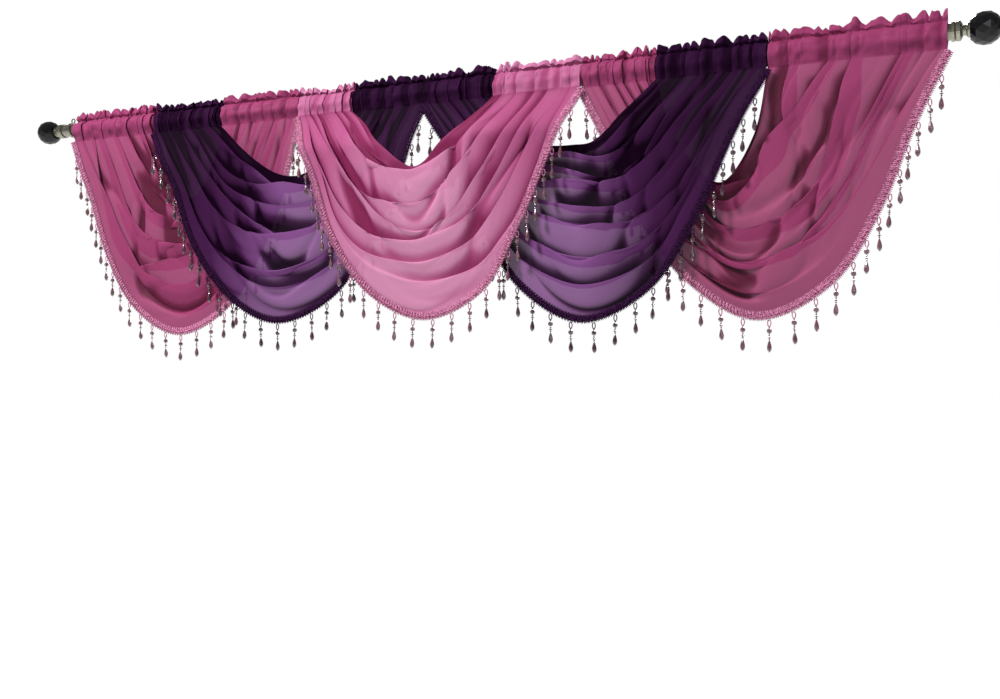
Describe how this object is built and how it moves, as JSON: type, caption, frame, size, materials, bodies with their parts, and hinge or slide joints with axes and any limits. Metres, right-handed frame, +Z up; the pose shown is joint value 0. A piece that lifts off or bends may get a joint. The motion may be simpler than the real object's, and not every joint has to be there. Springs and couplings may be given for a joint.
{
  "type": "sheer swags on a curtain pole",
  "caption": "Row of sheer voile swags that overlap on one curtain pole, each gathered at two pockets and edged with a braid of bead droppers; ball finials.",
  "frame": {"origin": "on the pole's axis, at the middle of its length", "axes": "+X along the pole towards the viewer's right, +Y towards the wall, +Z up"},
  "size_m": [2.107, 0.0866, 0.5832],
  "materials": {
    "voile_pink": "sheer plain-weave voile with a faint sheen",
    "voile_purple": "sheer plain-weave voile with a faint sheen",
    "braid_pink": "zigzag braid with plastic bead droppers",
    "braid_purple": "zigzag braid with plastic bead droppers",
    "nickel": "satin nickel",
    "black_glass": "polished black facets"
  },
  "bodies": {
    "root": {"pole": "nickel", "collar_left": "nickel", "collar_right": "nickel", "end_ring": "nickel", "ball_left": "black_glass", "ball_right": "black_glass", "swag_1": "voile_pink", "swag_2": "voile_purple", "swag_3": "voile_pink", "swag_4": "voile_purple", "swag_5": "voile_pink", "swag_1_braid": "braid_pink", "swag_2_braid": "braid_purple", "swag_3_braid": "braid_pink", "swag_4_braid": "braid_purple", "swag_5_braid": "braid_pink"}
  },
  "joints": []
}
